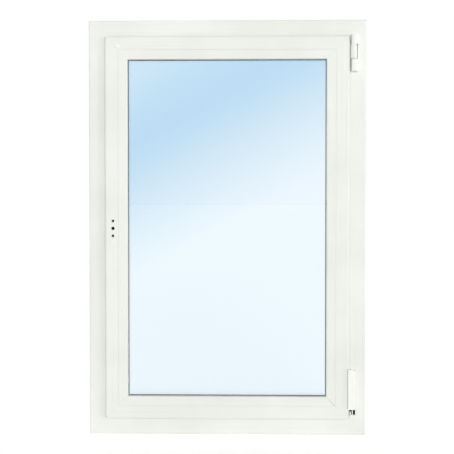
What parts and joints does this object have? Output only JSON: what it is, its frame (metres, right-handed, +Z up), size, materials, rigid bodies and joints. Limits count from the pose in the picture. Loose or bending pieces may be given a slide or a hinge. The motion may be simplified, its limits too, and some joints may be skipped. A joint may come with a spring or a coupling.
{
  "type": "tilt and turn pvc window",
  "caption": "White single-sash PVC window, hinged on the right, with mitred hollow profiles, beads, double glass, seals, hinges and holes for a handle.",
  "frame": {"origin": "middle of the flat underside of the sill profile, half way through the frame's depth", "axes": "+Z up the window's height, +X to the right as seen from the room (the hinge side), +Y out through the wall; the room face is at -Y"},
  "size_m": [0.8, 0.0985, 1.2],
  "materials": {
    "white_pvc": "smooth extruded white PVC with a soft sheen",
    "bead_pvc": "smooth extruded white PVC with a soft sheen",
    "clear_glass": "clear float glass with a pale blue cast",
    "black_seal": "matt black EPDM",
    "grey_seal": "matt grey soft seal",
    "edge_sealant": "matt sealant",
    "spacer_metal": "mill finish",
    "packer_plastic": "moulded",
    "zinc_steel": "bright zinc plated",
    "dark_steel": "dark burnished",
    "white_cover": "moulded white cover, satin"
  },
  "bodies": {
    "root": {"frame_sill": "white_pvc", "frame_head": "white_pvc", "frame_handle_jamb": "white_pvc", "frame_hinge_jamb": "white_pvc", "sash_bottom_rail": "white_pvc", "sash_top_rail": "white_pvc", "sash_handle_stile": "white_pvc", "sash_hinge_stile": "white_pvc", "glazing_bead_bottom": "bead_pvc", "glazing_bead_top": "bead_pvc", "glazing_bead_handle_side": "bead_pvc", "glazing_bead_hinge_side": "bead_pvc", "pane_inner": "clear_glass", "pane_outer": "clear_glass", "spacer_bar": "spacer_metal", "edge_seal": "edge_sealant", "glass_packers": "packer_plastic", "inner_glazing_seal": "black_seal", "outer_glazing_seal": "black_seal", "frame_stop_seal": "black_seal", "sash_lip_seal": "grey_seal", "gearbox": "zinc_steel", "gearbox_follower": "zinc_steel", "stay_bearing": "white_cover", "stay_bearing_pin": "zinc_steel", "stay_arm": "white_cover", "corner_band": "zinc_steel", "corner_band_cover": "white_cover", "pivot_bearing": "dark_steel", "pivot_bearing_cap": "white_cover", "pivot_pin": "dark_steel", "drain_caps": "white_cover"}
  },
  "joints": []
}
